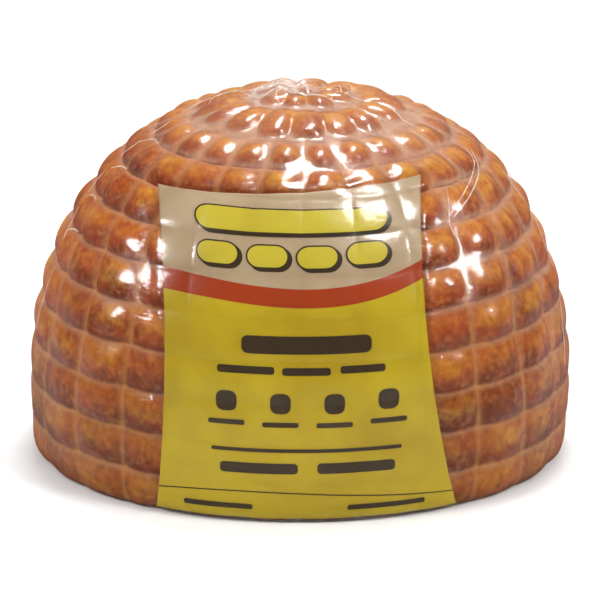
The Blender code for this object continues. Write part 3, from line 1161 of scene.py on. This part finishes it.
def mark_rows(x, arc, half_length, half_height, roundness):
    """Rows of points, as (x, arc), over one flat shape with round ends."""
    steps = max(8, int(half_length / MARK_STEPS[0]))
    along = np.sin(np.linspace(-math.pi / 2.0, math.pi / 2.0, steps + 1))
    sides = np.linspace(-1.0, 1.0, max(2, int(half_height / MARK_STEPS[1]) * 2) + 1)
    end = roundness * half_height / half_length
    past = np.clip((np.abs(along) - 1.0 + end) / end, 0.0, 1.0)
    reach = half_height * mixed(1.0, np.sqrt(1.0 - past**2), roundness)
    reach = np.maximum(reach, LEAST_REACH)
    return [(x + half_length * along, arc + side * reach) for side in sides]


def build_marks(name, shapes, finish, lift):
    """Flat printed shapes on the label. Each is (x, arc, half length, half height, roundness)."""
    rows, faces = [], []
    start = 0
    for shape in shapes:
        shape_rows = mark_rows(*shape)
        width = len(shape_rows[0][0])
        faces += grid_faces(start, len(shape_rows) - 1, width - 1)
        start += len(shape_rows) * width
        rows += shape_rows
    xs, arcs = (np.concatenate(part) for part in zip(*rows))
    points, shades = on_label(xs, arcs, lift)
    piece = mesh_piece(name, points, faces, (finish,), {"cells": shades})
    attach(piece, "root")


# Generic print: plain rounded plaques on the pale field, and bars and dots on the yellow one, each
# as (x, height, half length, half height) in millimetres
PLAQUES = (
    (-2.0, 69.5, 22.0, 2.9),
    *((*place, 4.6, 2.6) for place in ((-19.0, 62.6), (-7.5, 62.4), (4.0, 62.3), (15.5, 62.8))),
)
OUTLINE_GROWTH = 0.4125
SHADOW_GROWTH = 0.45
SHADOW_SHIFT = (0.7, -0.6)
DOTS = ((-17.0, 30.2), (-4.5, 29.9), (8.0, 29.8), (20.5, 30.3))
WORD_BARS = (
    (1.5, 43.4, 15.0, 2.1),
    (-12.5, 37.6, 6.6, 0.9),
    (1.5, 37.4, 5.6, 0.9),
    (14.5, 37.7, 5.2, 0.9),
    *((x, height, 2.4, 2.4) for x, height in DOTS),
    *((x, height - 5.0, 4.2, 0.6) for x, height in DOTS),
    (1.5, 18.6, 22.0, 0.45),
    (-9.5, 14.2, 9.0, 1.3),
    (13.0, 14.3, 9.0, 1.3),
    (-19.0, 4.4, 8.0, 0.7),
    (20.0, 4.2, 9.0, 0.7),
)
BAR_ROUNDNESS = 0.7
MARK_LIFTS = (0.1 * MM, 0.2 * MM, 0.3 * MM)


def mark_places(shapes, roundness=1.0, grow=0.0, shift=(0.0, 0.0)):
    """Shapes in metres, with each height turned into an arc, grown and shifted by millimetres."""
    placed = []
    for x, height, half_length, half_height in shapes:
        middle = ((x + shift[0]) * MM, float(arc_at(height * MM)) + shift[1] * MM)
        placed.append((*middle, (half_length + grow) * MM, (half_height + grow) * MM, roundness))
    return placed


def build_print(ink, plaque):
    shadows = mark_places(PLAQUES, grow=SHADOW_GROWTH, shift=SHADOW_SHIFT)
    build_marks("plaque_shadows", shadows, ink, MARK_LIFTS[0])
    build_marks("plaque_outlines", mark_places(PLAQUES, grow=OUTLINE_GROWTH), ink, MARK_LIFTS[1])
    build_marks("plaques", mark_places(PLAQUES), plaque, MARK_LIFTS[2])
    build_marks("word_bars", mark_places(WORD_BARS, BAR_ROUNDNESS), ink, MARK_LIFTS[0])


# The studio


def look_at(obj, target):
    direction = Vector(target) - obj.location
    obj.rotation_euler = direction.to_track_quat("-Z", "Y").to_euler()


def build_camera():
    data = bpy.data.cameras.new("camera")
    data.lens = CAMERA_LENS
    camera = add_object("camera", data)
    rise, back = math.sin(CAMERA_ELEVATION), math.cos(CAMERA_ELEVATION)
    camera.location = Vector(CAMERA_AIM) + CAMERA_DISTANCE * Vector((0.0, -back, rise))
    look_at(camera, CAMERA_AIM)
    bpy.context.scene.camera = camera


# Each softbox: name, direction from the ham, width, height and radiance. The body lights light the
# surfaces, and the sheen lights are what the film mirrors.
BODY_LIGHTS = (
    ("left_body", (-0.66, -0.47, 0.62), 0.2, 0.26, 18.4),
    ("right_body", (0.66, -0.46, 0.64), 0.18, 0.24, 25.0),
    ("top_body", (0.05, 0.3, 0.95), 0.36, 0.2, 19.0),
)
SHEEN_LIGHTS = (
    ("left_sheen", (-0.86, -0.26, 0.39), 0.17, 0.2, 80.0),
    ("right_sheen", (0.83, -0.24, 0.43), 0.12, 0.2, 90.0),
    ("top_sheen", (0.07, 0.16, 0.95), 0.15, 0.38, 100.0),
    ("front_sheen", (0.42, -0.36, 0.83), 0.2, 0.22, 80.0),
)
LIGHT_DISTANCE = 0.75
LIGHT_AIM = (0.0, 0.0, 45.0 * MM)
AMBIENT = 0.5

# The floor lies a little under the cut face, so that the two aren't in one plane
FLOOR_HEIGHT = -0.03 * MM
FLOOR_REACH = 4.0


def build_light(name, direction, width, height, radiance):
    data = bpy.data.lights.new(name, "AREA")
    data.shape = "RECTANGLE"
    data.size, data.size_y = width, height
    data.energy = radiance * math.pi * width * height
    light = add_object(name, data)
    light.location = Vector(LIGHT_AIM) + Vector(direction).normalized() * LIGHT_DISTANCE
    look_at(light, LIGHT_AIM)
    return light


def build_lights():
    for settings in BODY_LIGHTS:
        build_light(*settings).visible_glossy = False
    for settings in SHEEN_LIGHTS:
        build_light(*settings).visible_diffuse = False
    world = bpy.data.worlds.new("studio")
    world.use_nodes = True
    background = world.node_tree.nodes["Background"]
    background.inputs["Color"].default_value = WHITE
    background.inputs["Strength"].default_value = AMBIENT
    bpy.context.scene.world = world


def build_floor():
    signs = ((-1, -1), (1, -1), (1, 1), (-1, 1))
    corners = [(x * FLOOR_REACH, y * FLOOR_REACH, FLOOR_HEIGHT) for x, y in signs]
    floor = mesh_piece("studio_floor", corners, [(0, 1, 2, 3)], (floor_material(),))


def main():
    build_camera()
    build_ham(meat_material(), cut_face_material(), film_material())
    build_folds(fold_material())
    prints = {
        "yellow": print_material("yellow_print", YELLOW),
        "ink": print_material("ink", INK, groove_shade=0.0),
        "red": print_material("red_print", RED),
        "beige": print_material("beige_print", BEIGE),
    }
    build_label(prints)
    build_print(prints["ink"], print_material("plaque_print", PLAQUE, groove_shade=0.05))
    build_lights()
    build_floor()
    bpy.context.scene.view_settings.view_transform = "Standard"


main()
